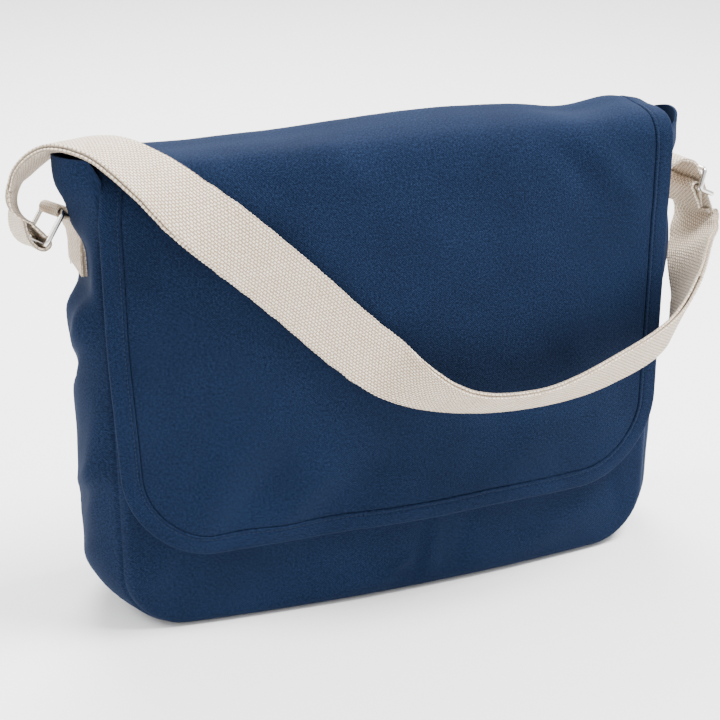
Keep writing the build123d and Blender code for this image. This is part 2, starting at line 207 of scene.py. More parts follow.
def edge_distance(points, half, radius, bottom):
    """How far inside the rounded outline each flat point lies; the top is left open."""
    x, z = np.abs(points[:, 0]), points[:, 1]
    into_x, into_z = x - (half - radius), (bottom + radius) - z
    corner = radius - np.hypot(np.maximum(into_x, 0), np.maximum(into_z, 0))
    plain = np.minimum(half - x, z - bottom)
    return np.where((into_x > 0) & (into_z > 0), corner, plain)


# ---- the bag's surfaces ----------------------------------------------------------------------


def belly(x, amount):
    return amount * np.maximum(0.0, 1 - (x / HALF_WIDTH) ** 2)


def front_y(x, z):
    fill = np.maximum(0.0, 1 - (np.clip(z, 0, 306) / 306.0) ** 6) ** 1.5
    return FRONT_SEAM_Y - belly(x, FRONT_BELLY * fill)


def back_y(x, z):
    lean = (np.clip(z, 0, HEIGHT) / HEIGHT) ** 1.3
    seam = BACK_FOOT_Y + (BACK_TOP_Y - BACK_FOOT_Y) * lean
    return seam + belly(x, BACK_BELLY * (1 - 0.6 * z / HEIGHT))


# ---- materials -------------------------------------------------------------------------------


def nodes_of(name):
    material = bpy.data.materials.new(name)
    material.use_nodes = True
    tree = material.node_tree
    shader = tree.nodes["Principled BSDF"]

    def add(kind, inputs=(), **settings):
        node = tree.nodes.new("ShaderNode" + kind)
        for key, value in settings.items():
            setattr(node, key, value)
        for key, value in dict(inputs).items():
            if isinstance(value, bpy.types.NodeSocket):
                tree.links.new(value, node.inputs[key])
            else:
                node.inputs[key].default_value = value
        return node
    return material, tree, shader, add


def ramp(add, value, stops):
    node = add("ValToRGB", {"Fac": value})
    elements = node.color_ramp.elements
    for i, (at, colour) in enumerate(stops):
        element = elements[i] if i < 2 else elements.new(at)
        element.position = at
        element.color = (*colour, 1.0)
    return node.outputs["Color"]


def cloth_position(add, scale):
    """Cloth coordinates in millimetres, times a scale."""
    cloth = add("Attribute", attribute_name="cloth")
    return add("Mapping", {"Vector": cloth.outputs["Vector"], "Scale": scale}).outputs["Vector"]


def mix(add, kind, share, a, b):
    node = add("Mix", data_type="RGBA", blend_type=kind)
    for key, value in (("Factor", share), ("A", a), ("B", b)):
        socket = [s for s in node.inputs if s.name == key and s.enabled][0]
        if isinstance(value, bpy.types.NodeSocket):
            node.id_data.links.new(value, socket)
        else:
            socket.default_value = value
    return [s for s in node.outputs if s.name == "Result" and s.enabled][0]


def canvas_material():
    """Navy cotton twill: fine diagonal weave, slubs, a dusty sheen and slightly worn ridges."""
    material, tree, shader, add = nodes_of("navy_canvas")
    fine = cloth_position(add, (1.0, 1.0, 1.0))
    twill = add("TexWave", {"Vector": fine, "Scale": 0.42, "Distortion": 2.5, "Detail": 3.0,
                            "Detail Scale": 1.5}, bands_direction="DIAGONAL")
    streaks = add("TexNoise", {"Vector": cloth_position(add, (1.05, 0.62, 1.0)), "Scale": 1.0,
                               "Detail": 3.0, "Roughness": 0.7})
    picks = add("TexNoise", {"Vector": cloth_position(add, (0.58, 1.15, 1.0)), "Scale": 1.0,
                             "Detail": 3.0, "Roughness": 0.7})
    patches = add("TexNoise", {"Vector": fine, "Scale": 0.022, "Detail": 3.0})
    grain = mix(add, "MIX", 0.5, streaks.outputs["Fac"], picks.outputs["Fac"])
    grain = mix(add, "MIX", 0.10, grain, twill.outputs["Fac"])
    colour = ramp(add, grain, [(0.38, (0.0010, 0.0034, 0.0125)), (0.50, (0.0043, 0.0108, 0.0305)),
                               (0.62, (0.0125, 0.0245, 0.0620))])
    tone = ramp(add, patches.outputs["Fac"], [(0.3, (0.78, 0.80, 0.82)), (0.7, (1.0, 1.0, 1.0))])
    tree.links.new(mix(add, "MULTIPLY", 1.0, colour, tone), shader.inputs["Base Color"])
    rough = add("MapRange", {"Value": grain, "To Min": 0.72, "To Max": 0.92})
    tree.links.new(rough.outputs["Result"], shader.inputs["Roughness"])
    relief = add("Bump", {"Height": grain, "Strength": 0.5, "Distance": 0.0004})
    tree.links.new(relief.outputs["Normal"], shader.inputs["Normal"])
    shader.inputs["Sheen Weight"].default_value = 0.035
    shader.inputs["Sheen Roughness"].default_value = 0.45
    shader.inputs["Sheen Tint"].default_value = (0.45, 0.6, 1.0, 1.0)
    shader.inputs["Specular IOR Level"].default_value = 0.06
    return material


def webbing_material():
    """Natural cotton webbing: fat quincunx grains with painted shade in the gaps between them, and seed
    flecks.
    """
    material, tree, shader, add = nodes_of("cotton_webbing")
    place = cloth_position(add, (1.0, 1.0, 1.0))
    wobble = add("TexNoise", {"Vector": place, "Scale": 0.5, "Detail": 1.0})
    shifted = add("VectorMath", {0: place, 1: wobble.outputs["Color"]}, operation="ADD")
    # The brick mortar is painted shade in the gaps between the grains; the two brick greys are the
    # grains' own tone.
    grains_and_gap_shade = add("TexBrick", {"Vector": shifted.outputs["Vector"], "Color1": (1, 1, 1, 1),
                              "Color2": (0.86, 0.86, 0.86, 1), "Mortar": (0, 0, 0, 1), "Scale": 1.0,
                              "Mortar Size": 0.8, "Mortar Smooth": 1.0, "Brick Width": 2.7,
                              "Row Height": 1.8}, offset=0.5)
    fuzz = add("TexNoise", {"Vector": place, "Scale": 3.0, "Detail": 4.0, "Roughness": 0.7})
    patches = add("TexNoise", {"Vector": place, "Scale": 0.05, "Detail": 2.0})
    flecks = add("TexNoise", {"Vector": place, "Scale": 0.9, "Detail": 2.0})
    # grain here carries the grains and the painted gap shade; the ramp's dark brown low end paints that
    # shade.
    grain = mix(add, "MIX", 0.35, grains_and_gap_shade.outputs["Color"], fuzz.outputs["Fac"])
    colour = ramp(add, grain, [(0.16, (0.30, 0.21, 0.14)), (0.46, (0.66, 0.55, 0.42)),
                               (0.75, (0.90, 0.80, 0.67))])
    tone = ramp(add, patches.outputs["Fac"], [(0.3, (0.93, 0.91, 0.88)), (0.7, (1.0, 1.0, 1.0))])
    seeds = ramp(add, flecks.outputs["Fac"], [(0.22, (0.62, 0.5, 0.38)), (0.27, (1.0, 1.0, 1.0))])
    colour = mix(add, "MULTIPLY", 1.0, mix(add, "MULTIPLY", 1.0, colour, tone), seeds)
    tree.links.new(colour, shader.inputs["Base Color"])
    rough = add("MapRange", {"Value": grain, "To Min": 0.95, "To Max": 0.78})
    tree.links.new(rough.outputs["Result"], shader.inputs["Roughness"])
    relief = add("Bump", {"Height": grain, "Strength": 0.85, "Distance": 0.0008})
    tree.links.new(relief.outputs["Normal"], shader.inputs["Normal"])
    shader.inputs["Sheen Weight"].default_value = 0.12
    shader.inputs["Specular IOR Level"].default_value = 0.15
    return material


def nickel_material():
    """Bright nickel plate with faint rubbing marks."""
    material, tree, shader, add = nodes_of("nickel_plate")
    place = add("TexCoord").outputs["Object"]
    marks = add("TexNoise", {"Vector": place, "Scale": 900.0, "Detail": 3.0})
    dull = add("TexNoise", {"Vector": place, "Scale": 160.0, "Detail": 2.0})
    rough = add("MapRange", {"Value": dull.outputs["Fac"], "From Min": 0.3, "From Max": 0.7,
                             "To Min": 0.12, "To Max": 0.28})
    tree.links.new(rough.outputs["Result"], shader.inputs["Roughness"])
    colour = ramp(add, dull.outputs["Fac"], [(0.3, (0.60, 0.58, 0.55)), (0.7, (0.72, 0.70, 0.67))])
    tree.links.new(colour, shader.inputs["Base Color"])
    relief = add("Bump", {"Height": marks.outputs["Fac"], "Strength": 0.12, "Distance": 0.0001})
    tree.links.new(relief.outputs["Normal"], shader.inputs["Normal"])
    shader.inputs["Metallic"].default_value = 1.0
    return material


def thread_material(name, dark, light):
    """Twisted sewing thread."""
    material, tree, shader, add = nodes_of(name)
    place = add("TexCoord").outputs["Object"]
    twist = add("TexWave", {"Vector": place, "Scale": 900.0, "Distortion": 3.0},
                bands_direction="DIAGONAL")
    tree.links.new(ramp(add, twist.outputs["Fac"], [(0.2, dark), (0.8, light)]),
                   shader.inputs["Base Color"])
    relief = add("Bump", {"Height": twist.outputs["Fac"], "Strength": 0.4, "Distance": 0.0001})
    tree.links.new(relief.outputs["Normal"], shader.inputs["Normal"])
    shader.inputs["Roughness"].default_value = 0.7
    shader.inputs["Specular IOR Level"].default_value = 0.2
    return material


CANVAS_LOOK = canvas_material()
WEBBING_LOOK = webbing_material()
NICKEL_LOOK = nickel_material()
NAVY_THREAD = thread_material("navy_thread", (0.003, 0.008, 0.024), (0.010, 0.022, 0.060))
CREAM_THREAD = thread_material("cream_thread", (0.50, 0.43, 0.34), (0.78, 0.71, 0.62))

# ---- stitches --------------------------------------------------------------------------------


def stitches(name, line, outward, pitch, length, material, radius=0.28):
    """One small rounded stitch after another along a line of points on a surface."""
    line, outward = np.asarray(line, float), np.asarray(outward, float)
    run = np.concatenate([[0], np.cumsum(np.linalg.norm(np.diff(line, axis=0), axis=1))])
    starts = np.arange(pitch / 2, run[-1] - length, pitch)
    points, faces = [], []
    ring, stations = 6, (0.0, 0.12, 0.5, 0.88, 1.0)
    for start in starts:
        at = start + np.array(stations) * length
        centre = np.column_stack([np.interp(at, run, line[:, k]) for k in range(3)])
        up = np.column_stack([np.interp(at, run, outward[:, k]) for k in range(3)])
        along = unit(centre[-1] - centre[0])
        first = len(points)
        for share, middle, rise in zip(stations, centre, up):
            rise = unit(rise)
            side = np.cross(along, rise)
            lift = radius * (1.6 * sin(pi * share) - 0.6)
            size = radius * (0.45 + 0.55 * sin(pi * share) ** 0.5)
            for k in range(ring):
                angle = 2 * pi * k / ring
                points.append(middle + rise * (lift + size * sin(angle)) + side * size * cos(angle))
        for i in range(len(stations) - 1):
            for k in range(ring):
                a, b = first + i * ring + k, first + i * ring + (k + 1) % ring
                faces.append((a, b, b + ring, a + ring))
        last = first + (len(stations) - 1) * ring
        for base, order in ((first, -1), (last, 1)):
            faces.append(tuple(base + k for k in (0, 1, 2, 3))[::order])
            faces.append(tuple(base + k for k in (0, 3, 4, 5))[::order])
    points = np.array(points)
    return make_piece(name, points, np.array(faces), points[:, :2], material)


# ---- front, back and gusset ------------------------------------------------------------------

BAND = np.array([0, 0.4, 0.9, 1.5, 2.3, 3.4, 5, 7.5, 11, 15, 20.0])
SEAM_ROLL, ROLL_REACH = 4.0, 5.5      # how far a panel's edge rolls in, and over what distance
PANEL_HOLD = 14.0                     # the seam holds the creases down over this distance


def seam_roll(distance):
    return SEAM_ROLL * np.maximum(0.0, 1 - distance / ROLL_REACH) ** 2.2


FRONT_CREASES = [
    ((18, 5), (26, 66), 4.0, 2.4), ((8, 4), (16, 60), 5.0, -2.2), ((-28, 2), (12, 34), 3.5, 1.6),
    ((36, 6), (50, 62), 7.0, -1.6), ((-120, 8), (-60, 46), 16.0, -1.5),
    ((70, 8), (150, 40), 14.0, 1.6),
    ((-178, 20), (-150, 90), 8.0, 1.8), ((172, 26), (150, 80), 8.0, -1.5),
    ((-100, 0), (100, 8), 9.0, 1.2), ((14, 8), (-30, 30), 4.0, -1.8),
    ((-60, 6), (0, 22), 8.0, 1.6)]
BACK_CREASES = [
    ((-150, 20), (-40, 90), 14.0, 2.2), ((160, 30), (60, 120), 16.0, 2.0),
    ((-120, 290), (-30, 180), 15.0, -2.0), ((120, 280), (60, 170), 14.0, 1.8),
    ((-20, 20), (30, 140), 18.0, -1.8), ((-170, 150), (-90, 200), 10.0, 1.4)]


def panel(name, surface, facing, top, table, seed, amount):
    """The front or the back; facing is the side of its outer face along y."""
    flat, quads, distance = u_patch(HALF_WIDTH, CORNER_R, 0.0, top, BAND, 4.0)
    x, z = flat.T
    move = creases(x, z, table) + amount * rumple(x, z, 70.0, seed) + 0.35 * rumple(x, z, 16.0, seed)
    move *= smooth(distance / PANEL_HOLD)
    y = surface(x, z) + facing * (move - seam_roll(distance) - CANVAS)
    points = np.column_stack([x, y, z + 0.5 * seam_roll(distance) * (z < CORNER_R)])
    if facing > 0:
        quads = quads[:, ::-1]
    return closed_sheet(name, points, quads, flat, CANVAS, CANVAS)


GUSSET_TOP, GUSSET_HALF = 324.0, 40.0  # the top of its path, and half its width for the creases


def gusset_path(step):
    """Stations down the left side, under the bag and up the right: point, outward and run."""
    half, radius = HALF_WIDTH, CORNER_R
    side = np.linspace(GUSSET_TOP, radius, int((GUSSET_TOP - radius) / step) + 1)
    arc = np.linspace(0, pi / 2, int(radius * 1.6 / step) + 1)[1:-1]
    base = np.linspace(radius - half, half - radius, int(2 * (half - radius) / step) + 1)
    left = [(-half, z, -1.0, 0.0) for z in side]
    left += [(radius - half - radius * cos(a), radius - radius * sin(a), -cos(a), -sin(a))
             for a in arc]
    right = [(-x, z, -a, b) for x, z, a, b in reversed(left)]
    path = np.array(left + [(x, 0.0, 0.0, -1.0) for x in base] + right)
    steps = np.hypot(*np.diff(path[:, :2], axis=0).T)
    return path, np.concatenate([[0], np.cumsum(steps)])


# Along the path from the left mouth; across from -1 at the front seam to 1 at the back seam.
LEFT_GUSSET_CREASES = [
    ((6, -0.9), (60, -0.2), 9.0, -2.5), ((60, -0.9), (110, -0.3), 8.0, 3.0),
    ((88, -0.9), (150, 0.1), 9.0, 4.5), ((118, -0.6), (160, 0.6), 6.5, -5.0),
    ((150, -0.9), (262, -0.35), 9.0, 3.0), ((200, -0.95), (236, 0.2), 6.0, 2.4),
    ((216, -0.95), (252, 0.4), 8.0, -2.2), ((262, -0.8), (300, 0.5), 10.0, 2.2),
    ((30, 0.9), (140, 0.3), 12.0, 2.5), ((160, 0.9), (230, 0.2), 12.0, -2.5)]


def gusset_bulge(x, z, across):
    """Outward stand of the gusset, with the pull of the sewn tab and the flare of the ears."""
    bulge = 16.5 - 4.5 * bump(z, 258, 26) - 1.6 * bump(z, 180, 12) + 1.2 * bump(z, 215, 16)
    bulge = bulge + 1.5 * bump(z, 120, 50) - 2.0 * bump(z, 20, 22)
    bulge = bulge + np.where(x < 0, 4.0, -3.5) * smooth((z - 284) / 34.0)
    return bulge * (1 - np.abs(across) ** 2.3)


def gusset_creases(along, across, start_on=0, end_on=0):
    """The side's creases, with their starts and ends moved on along the path."""
    table = [((a[0] + start_on, a[1] * GUSSET_HALF), (b[0] + end_on, b[1] * GUSSET_HALF), w, h)
             for a, b, w, h in LEFT_GUSSET_CREASES]
    return creases(along, across * GUSSET_HALF, table)


def gusset_canvas():
    path, run = gusset_path(4.0)
    edge = np.array([0, 0.012, 0.03, 0.05, 0.07, 0.09, 0.13])
    across = np.concatenate([edge - 1, np.linspace(-0.8, 0.8, 17), 1 - edge[::-1]])
    rows, cols = len(path), len(across)
    x, z, out_x, out_z = (np.repeat(path[:, k], cols) for k in range(4))
    along, t = np.repeat(run, cols), np.tile(across, rows)
    on_left = x < 0
    front_edge = front_y(x, z) + SEAM_ROLL + CANVAS
    back_edge = back_y(x, z) - SEAM_ROLL - CANVAS
    y = front_edge + (back_edge - front_edge) * (t + 1) / 2

    bulge = gusset_bulge(x, z, t) * np.abs(out_x)
    wrinkles = gusset_creases(along, t) + 0.8 * gusset_creases(run[-1] - along, -t, 14, 9)
    wrinkles += 1.3 * rumple(along, t * GUSSET_HALF, 34.0, 5.1)
    hold = smooth((1 - np.abs(t)) / 0.25) * np.abs(out_x) ** 0.5

    # The sewn webbing keeps a patch of each side flat, at the patch's own distance out.
    tab = np.exp(-((z - np.where(on_left, 250, 246)) / 23) ** 4)
    tab = tab * np.where(on_left, np.exp(-((y + 9) / 33) ** 6), np.exp(-(y / 24) ** 6))
    tab = tab * np.abs(out_x) * smooth((1 - np.abs(t)) / 0.16)
    patch = np.where(on_left, 5.9, 13.6)
    out = (bulge + wrinkles * hold) * (1 - tab) + patch * tab + 2.4 * smooth((z - 292) / 14.0)
    out = out - 2.4 * np.maximum(0.0, (np.abs(t) - 0.93) / 0.07)

    # The ears: the top edge falls towards its seams, and the left ear's front leans forward.
    ahead, behind = np.maximum(0.0, -t), np.maximum(0.0, t)
    corner_drop = 13 * np.maximum(0.0, (ahead - 0.9) / 0.1) ** 1.5
    left_drop = corner_drop - 1.8 * ahead + 6.5 * behind ** 1.25
    right_drop = 9 * ahead ** 2 + 7 * behind ** 2 + 10
    drop = smooth((z - 262) / 62.0) * np.where(on_left, left_drop, right_drop)
    y = y - 4.4 * smooth((z - 272) / 22.0) * smooth((ahead - 0.15) / 0.85) * on_left

    points = np.column_stack([x + out * out_x, y, z + out * out_z * 0.4 - drop])
    points[:, 2] = np.maximum(points[:, 2], CANVAS)
    flat = np.column_stack([t * 42, along])
    return closed_sheet("gusset_canvas", points, grid_quads(rows, cols), flat, CANVAS, CANVAS)


front = panel("front_canvas", front_y, -1, FRONT_TOP_Z, FRONT_CREASES, 1.3, 1.5)
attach(front, "root")
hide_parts("front_panel", "front_top_hem", "front_seam_binding")
back = panel("back_canvas", back_y, 1, BACK_EDGE_Z, BACK_CREASES, 2.7, 2.2)
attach(back, "root")
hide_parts("back_panel", "back_seam_binding")
gusset = gusset_canvas()
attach(gusset, "root")
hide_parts("gusset", "gusset_hem_left", "gusset_hem_right")

# ---- flap ------------------------------------------------------------------------------------
# t is the height on the hanging front, and runs on as cloth over the fold, the top and the ridge.
FLAP_T = (250, 268, 282, 296, 308, 319, 331, 345, 358, 368, 379, 391, 403)
FLAP_Y = (-51.0, -51.0, -51.0, -50.6, -48.0, -41.5, -30.5, -16.5, -3.5, 5.0, 11.0, 14.5, 17.0)
FLAP_Z = (250, 268, 282, 296, 307.5, 315.5, 319.3, 320.6, 320.8, 317.5, 309, 298, 286.5)
SPLIT_T, FLAP_END_T = 347.0, 396.0
HEM, STITCH_AT = 13.0, 10.6           # the turned edge's width and its stitches' distance in
THIN_EDGE = 0.12                      # half the cloth's thickness at its very edge
FLAP_BAND = np.array([0, 0.25, 0.6, 1.1, 1.8, 3, 5, 7.5, 9.4, 10, 10.6, 11.2, 11.8, 12.3, 12.7,
                      13, 13.3, 13.7, 14.2, 15, 17, 20.0])
FLAP_CREASES = [
    ((-150, 66), (-105, 150), 13.0, 3.2), ((-128, 60), (-70, 140), 11.0, -3.0),
    ((-100, 60), (-50, 110), 10.0, 2.2), ((-70, 62), (0, 120), 14.0, -2.0),
    ((60, 70), (120, 150), 22.0, 2.0), ((150, 90), (110, 200), 18.0, 1.8),
    ((-178, 120), (-160, 250), 9.0, 1.6), ((120, 318), (176, 250), 10.0, 2.2),
    ((90, 322), (140, 262), 9.0, -1.8), ((-120, 330), (-70, 280), 12.0, -2.4),
    ((-60, 330), (-20, 290), 12.0, 2.0), ((60, 70), (-40, 64), 14.0, 1.5)]


def rounded_edge(d):
    """Rises from 0 at the edge to 1 like a quarter circle."""
    return np.sqrt(np.clip(1 - (1 - np.clip(d / 1.8, 0, 1)) ** 2, 0.0, 1.0))


def flap_height(d):
    """Outer face above the middle of the cloth, by distance from the hemmed edge."""
    hem = 1.5 + 0.25 * np.sin(pi * np.clip(d / STITCH_AT, 0, 1))
    level = hem + (CANVAS - hem) * smooth((d - HEM + 0.4) / 0.5)
    face = THIN_EDGE + (level - THIN_EDGE) * rounded_edge(d)
    return face - 0.5 * bump(d, STITCH_AT, 0.6) - 0.8 * bump(d, HEM + 0.1, 0.35)


def flap_depth(d):
    """Inner face below the middle of the cloth."""
    hem = 1.1 + (CANVAS - 1.1) * smooth((d - HEM + 0.8) / 1.2)
    return THIN_EDGE + (hem - THIN_EDGE) * rounded_edge(d)


def flap_middle(x, t):
    """Middle of the flap's cloth at a flat point."""
    y = through(FLAP_T, FLAP_Y, np.maximum(t, 250)) - (front_y(0 * x + 190, t) - front_y(x, t))
    z = np.where(t < 250, t, through(FLAP_T, FLAP_Z, np.maximum(t, 250)))
    over = bump(t, 352, 26)
    z = z + over * (3.0 * bump(x, 30, 70) - 2.5 * bump(x, -128, 34) - 5.5 * bump(x, 132, 26)
                    + 1.5 * bump(x, 168, 14) - 1.5 * bump(x, -75, 26) - 6.5 * bump(x, 198, 24))
    y = y + 3.0 * bump(t, 318, 22) * smooth((20 - x) / 190.0)
    y = y - 1.5 * bump(t, 312, 18) * bump(x, 175, 40)
    stand = 5.0 * bump(x, -150, 60) + 1.5 * bump(x, 40, 45) + 2.6 * bump(x, 130, 50)
    y = y - stand * bump(t, FLAP_BOTTOM_Z, 46)
    move = creases(x, t, FLAP_CREASES) + 1.3 * rumple(x, t, 85.0, 8.2) + 0.3 * rumple(x, t, 18.0, 3.3)
    free = smooth((FLAP_END_T - t) / 30.0)
    y = y - move * free * np.where(t < 300, 1.0, np.clip(1 - (t - 300) / 20.0, 0.0, 1.0))
    z = z + 0.6 * move * free * smooth((t - 300) / 24.0)
    wide = smooth((t - 90) / 130.0) * (1 - smooth((t - 285) / 30.0)) * smooth((-x - 60) / 130.0)
    return np.column_stack([x - 4.0 * wide, y, z])


def flap_outer(x, t, d):
    """A point on the flap's outer face and the direction out of it."""
    x, t = np.asarray(x, float), np.asarray(t, float)
    here = flap_middle(x, t)
    out = np.cross(flap_middle(x + 0.5, t) - here, flap_middle(x, t + 0.5) - here)
    out /= np.linalg.norm(out, axis=1)[:, None]
    return here + out * flap_height(d)[:, None], out


def flap_patch():
    return u_patch(HALF_WIDTH, FLAP_CORNER_R, FLAP_BOTTOM_Z, SPLIT_T, FLAP_BAND, 3.0)


def flap_lower():
    flat, quads, distance = flap_patch()
    points = flap_middle(*flat.T)
    return closed_sheet("flap_canvas_lower", points, quads, flat, flap_height(distance),
                        flap_depth(distance))


def flap_upper():
    """The cloth from the split to the back, with the lower part's own columns."""
    lower_flat, _, _ = flap_patch()
    columns = np.unique(lower_flat[np.isclose(lower_flat[:, 1], SPLIT_T)][:, 0].round(6))
    heights = np.linspace(SPLIT_T, FLAP_END_T, 26)
    x, t = np.tile(columns, len(heights)), np.repeat(heights, len(columns))
    distance = np.minimum(HALF_WIDTH - np.abs(x), 99.0)
    points = flap_middle(x, t)
    return closed_sheet("flap_canvas_upper", points, grid_quads(len(heights), len(columns)),
                        np.column_stack([x, t]), flap_height(distance), flap_depth(distance))


def hem_line(inset, step=1.5):
    """Flat points and outline distance along the flap's edge, from one top to the other."""
    half, radius, low = HALF_WIDTH - inset, FLAP_CORNER_R - inset, FLAP_BOTTOM_Z
    side = np.arange(SPLIT_T - 1, low + FLAP_CORNER_R, -step)
    arc = np.arange(0, pi / 2, step / radius)
    left = [(-half, t) for t in side]
    left += [(FLAP_CORNER_R - HALF_WIDTH - radius * cos(a), low + FLAP_CORNER_R - radius * sin(a))
             for a in arc]
    base = np.arange(FLAP_CORNER_R - HALF_WIDTH, HALF_WIDTH - FLAP_CORNER_R, step)
    return np.array(left + [(x, low + inset) for x in base] + [(-x, t) for x, t in reversed(left)])


lower = flap_lower()
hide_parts("flap_front_panel", "flap_edge_hem")
upper = flap_upper()
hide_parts("flap_top_panel", "flap_top_hem_left", "flap_top_hem_right")
line = hem_line(STITCH_AT)
places, outward = flap_outer(line[:, 0], line[:, 1], np.full(len(line), STITCH_AT))
flap_thread = stitches("flap_hem_thread", places, outward, 3.1, 2.3, NAVY_THREAD)
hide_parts("flap_topstitching")
for piece in (lower, flap_thread):
    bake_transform(piece)
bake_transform(upper)

# Two rows of stitches hold the flap's end on the back, well away from its hemmed edges.
across = np.arange(-184.0, 184.5, 1.5)
far = np.full(len(across), 30.0)
for tag, above in (("low", 3.5), ("high", 9.0)):
    places, outward = flap_outer(across, np.full(len(across), FLAP_END_T - above), far)
    row = stitches(f"flap_seam_{tag}", places, outward, 3.1, 2.3, NAVY_THREAD)
    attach(row, "root")

# ---- webbing ---------------------------------------------------------------------------------
RING_AXIS = unit(RING_BAR)
RING_DOWN = unit(RING_LEAN - RING_AXIS * (RING_LEAN @ RING_AXIS))
RING_LOW = RING_TOP + RING_DOWN * RING_DROP
RING_LEAVE = unit(np.array((-233.0, 1.0, 282.0)) - RING_LOW)
TURN_R = WIRE_R + 0.5 + WEBBING_THICK / 2
STUB = 9.0                            # the strap's route starts this far from the ring's bar
STEP = 0.7                            # between a ribbon's samples
# Route stations: a point of the webbing's middle line and the direction of its width.
STRAP_ROUTE = [
    (tuple(RING_LOW + RING_LEAVE * STUB), (-4.5, 40, -8.3)),
    ((-233, 1, 282), (5, 39, -5)), ((-235, 1.5, 293), (10, 38, -5)), ((-233, 1.5, 301), (14, 37, -5)),
    ((-229, 1, 307), (19, 35, -6)), ((-209, -9, 325.5), (24, 31, -8)), ((-186, -28, 328), (26, 30, -1)),
    ((-161, -48, 313.5), (29, 26, 11)), ((-139, -62, 293), (30, 16, 22)), ((-119, -67, 275), (29, 6, 27)),
    ((-78, -65, 235), (28, 0, 28)), ((-39, -67, 195), (28, 0, 28)), ((-19, -70, 177), (25, -4, 31)),
    ((-6, -75, 167), (13, -17, 34)), ((22, -83, 153), (1, -29, 27)), ((74, -87, 146), (-4, -31, 25)),
    ((139, -84, 157), (-5, -24, 32)), ((190, -70, 175), (-5, -23, 32)), ((210.5, -50, 192), (3, -27, 29)),
    ((225.5, -26, 211), (12, -32, 20))]
RUN_ROUTE = [((205.2, 0, 228), (0, -40, 0)), ((205.2, 0, 245), (0, -40, 0)),
             ((205.2, 0, 262), (1, -40, 0)), ((207, 0, 270.5), (3, -40, 0)),
             ((215, 0, 274.5), (5, -39, 0)), ((223, 0, 272), (7, -39, 0)),
             ((230, 0, 260), (7, -39, 0)), ((240, 0, 237), (7, -39, 0))]


def route_knots(route):
    """A route's stations and how far along each one lies."""
    points = np.array([p for p, _ in route], float)
    steps = np.linalg.norm(np.diff(points, axis=0), axis=1)
    return points, np.concatenate([[0], np.cumsum(steps)])


def sample_route(route, step=STEP):
    """Centres, width directions, outward directions and run of a smooth ribbon."""
    points, knots = route_knots(route)
    across = np.array([unit(np.array(w, float)) for _, w in route])
    at = np.linspace(0, knots[-1], int(knots[-1] / step) + 1)
    centre, side = through(knots, points, at), through(knots, across, at)
    ahead = np.gradient(centre, at, axis=0)
    ahead /= np.linalg.norm(ahead, axis=1)[:, None]
    side -= ahead * np.sum(ahead * side, axis=1)[:, None]
    side /= np.linalg.norm(side, axis=1)[:, None]
    return centre, side, np.cross(ahead, side), at


ACROSS = 15                           # points across either face of a ribbon


def end_cap(loop):
    """Faces over a ribbon's end; the loop runs across the top face and back underneath."""
    last = 2 * ACROSS
    quads = [[loop[k], loop[k + 1], loop[last - k - 1], loop[last - k]] for k in range(ACROSS - 1)]
    one_side = [loop[ACROSS - 1], loop[ACROSS], loop[ACROSS + 1]]
    return quads + [one_side, [loop[last], loop[last + 1], loop[0]]]


def ribbon(name, centre, side, out, run, width=WEBBING, seed=0.0):
    """Webbing with rounded, slightly wavy selvedges along sampled stations."""
    half, deep = width / 2, WEBBING_THICK / 2
    top = [(u * (half - 0.5), deep) for u in np.linspace(-1, 1, ACROSS)]
    section = top + [(half, 0.0)] + [(u, -h) for u, h in reversed(top)] + [(-half, 0.0)]
    u, h = np.array(section).T
    drift = np.array([noise.noise(Vector((r / 9.0, seed, 0.0))) for r in run])
    wave = 0.16 * np.sin(run * 2 * pi / 3.1 + seed) + 0.5 * drift
    stretch = 1 + (wave[:, None] / half) * (np.abs(u)[None, :] / half) ** 6
    points = (centre[:, None] + side[:, None] * (u[None, :] * stretch)[..., None]
              + out[:, None] * np.broadcast_to(h, (len(run), len(h)))[..., None])
    rows, cols = len(run), len(section)
    at = np.arange(rows * cols).reshape(rows, cols)
    ahead = np.roll(at, -1, axis=1)
    faces = np.stack([at[:-1], ahead[:-1], ahead[1:], at[1:]], -1).reshape(-1, 4).tolist()
    faces += [face[::-1] for face in end_cap(at[0])] + end_cap(at[-1])
    flat = np.column_stack([np.repeat(run, cols), np.tile(u + 50 * (h < 0), rows)])
    return make_piece(name, points.reshape(-1, 3), faces, flat, WEBBING_LOOK, 60)


def station_at(route, k, run):
    """The sample nearest to one of a route's own stations."""
    return int(round(route_knots(route)[1][k] / run[1]))


def layer(name, route, offset, sideways, first, last, apart=None, seed=0.0):
    """One layer of a ribbon between two stations of its route."""
    centre, side, out, run = sample_route(route)
    begin, stop = (station_at(route, k, run) for k in (first, last))
    keep = slice(begin, stop + 1)
    gap = offset * (1 + (apart(run) if apart else 0.0))
    centre = centre + out * np.broadcast_to(gap, len(run))[:, None] + side * sideways
    return ribbon(name, centre[keep], side[keep], out[keep], run[keep], seed=seed)


def turn_round(centre, axis, leave, legs, reach):
    """Stations of webbing that comes in beside a bar, turns round it and goes back."""
    across = np.cross(axis, leave)
    near = (TURN_R + legs) / 2 + 0.25
    leg = ((reach, legs), (0.5 * reach + 3, legs), (5.0 if reach > 9 else 3.4, near))
    arc = [(TURN_R * cos(a), TURN_R * sin(a)) for a in np.linspace(radians(62), radians(298), 11)]
    profile = list(leg) + arc + [(a, -b) for a, b in reversed(leg)]
    return [(centre + leave * a + across * b, axis) for a, b in profile]


def lens(run):
    """The two layers stand apart in the hollow of the strap."""
    return 0.9 * bump(run, 330, 60) + 0.4 * bump(run, 600, 60)


# How far the webbing lies from the ring's lower bar, towards the strap and towards the bag.
RING_PROFILE = [(16.0, -3.4), (11.0, -5.0), (6.0, -5.6), (1.6, -4.7), (-1.4, -3.1), (-2.9, -0.95),
                (-2.6, 1.6), (-0.8, 2.95), (1.8, 3.1), (6.5, 2.5), (12.5, 1.2)]
SHIFT = 0.6                           # how far each layer lies to its side of the strap's middle


